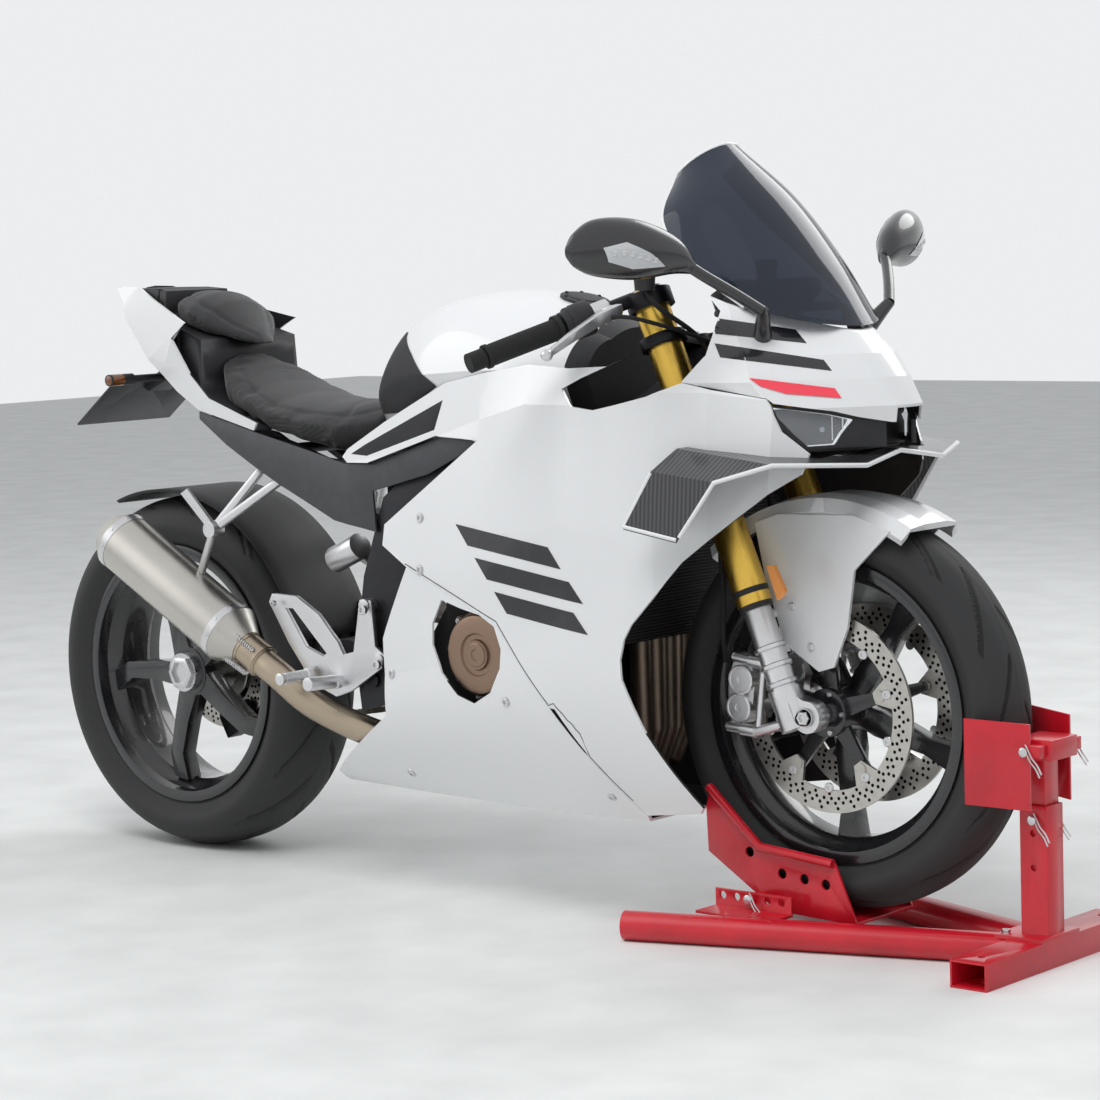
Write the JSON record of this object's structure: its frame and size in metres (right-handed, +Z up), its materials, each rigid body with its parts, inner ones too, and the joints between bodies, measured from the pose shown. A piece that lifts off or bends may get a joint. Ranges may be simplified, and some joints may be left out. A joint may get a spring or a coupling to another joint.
{
  "type": "sport bike on a front wheel chock",
  "caption": "Fully faired sport bike whose front wheel stands in a red steel wheel chock, with turning wheels, steering and a folding side stand.",
  "frame": {"origin": "on the floor, under the middle of the whole length and width", "axes": "+X forward, +Y to the rider's left, +Z up"},
  "size_m": [2.0789, 0.852, 1.189],
  "materials": {
    "red_paint": "gloss",
    "gold_anodised": "satin",
    "silver_alloy": "satin",
    "black_alloy": "satin",
    "axle_steel": "brushed",
    "grip_rubber": "matte",
    "black_plastic": "matte",
    "white_gloss": "gloss",
    "tyre_rubber": "matte",
    "wheel_black": "gloss",
    "disc_steel": "brushed",
    "screen_tint": "gloss",
    "seat_cover": "matte",
    "engine_grey": "matte",
    "cover_bronze": "satin",
    "frame_grey": "matte",
    "muffler_steel": "brushed",
    "pipe_steel": "brushed",
    "lamp_lens": "gloss",
    "radiator_black": "matte",
    "plate_black": "satin",
    "chain_steel": "satin",
    "cover_grey": "matte",
    "winglet_black": "gloss"
  },
  "bodies": {
    "front_end": {"stand_base": "red_paint", "stand_column": "red_paint", "stand_jaws": "red_paint", "stand_cradle": "red_paint", "fork_uppers": "gold_anodised", "fork_lowers": "silver_alloy", "front_axle": "axle_steel", "top_clamp": "black_alloy", "bottom_clamp": "black_alloy", "handlebars": "black_alloy", "grips": "grip_rubber", "switch_housings": "black_plastic", "brake_and_clutch_levers": "silver_alloy", "front_fender": "white_gloss", "front_calipers": "silver_alloy", "front_brake_hoses": "grip_rubber"},
    "front_wheel": {"front_tyre": "tyre_rubber", "front_rim": "wheel_black", "front_discs": "disc_steel"},
    "chassis": {"side_fairings": "white_gloss", "belly_fairing": "white_gloss", "nose_fairing": "white_gloss", "windscreen": "screen_tint", "fuel_tank": "white_gloss", "rider_seat": "seat_cover", "pillion_seat": "seat_cover", "tail_fairing": "white_gloss", "engine_block": "engine_grey", "engine_covers": "cover_bronze", "main_frame": "frame_grey", "subframe": "frame_grey", "swingarm": "black_alloy", "muffler": "muffler_steel", "link_pipe": "pipe_steel", "mirrors": "black_plastic", "winglets": "winglet_black", "headlights": "lamp_lens", "instrument_panel": "black_plastic", "radiator": "radiator_black", "exhaust_headers": "pipe_steel", "rear_hugger": "black_plastic", "plate_bracket": "black_plastic", "number_plate": "plate_black", "rear_indicators": "black_plastic", "tail_core": "black_plastic", "headlight_housing": "black_plastic", "rearsets": "silver_alloy", "passenger_pegs": "silver_alloy", "tank_side_covers": "black_plastic", "seat_side_covers": "cover_grey", "chain": "chain_steel", "front_sprocket": "disc_steel", "rear_caliper": "black_alloy", "rear_shock": "silver_alloy"},
    "rear_wheel": {"rear_tyre": "tyre_rubber", "rear_rim": "wheel_black", "rear_hub_nut": "axle_steel", "rear_disc": "disc_steel", "rear_sprocket": "disc_steel"},
    "side_stand": {"side_stand": "black_alloy"}
  },
  "joints": [
    {"name": "front_wheel_spin", "type": "hinge", "parent": "front_end", "child": "front_wheel", "pos_m": [0.6775, 0, 0.346], "axis": [0, 1, 0], "continuous": true},
    {"name": "steering", "type": "hinge", "parent": "front_end", "child": "chassis", "pos_m": [0.43503, 0, 0.78698], "axis": [-0.3795, 0, 0.9252], "range_deg": [-24, 24]},
    {"name": "rear_wheel_spin", "type": "hinge", "parent": "chassis", "child": "rear_wheel", "pos_m": [-0.7225, 0, 0.312], "axis": [0, 1, 0], "continuous": true},
    {"name": "side_stand_fold", "type": "hinge", "parent": "chassis", "child": "side_stand", "pos_m": [-0.1305, 0.186, 0.328], "axis": [0.042, -0.9366, -0.3479], "range_deg": [0, 95]}
  ]
}
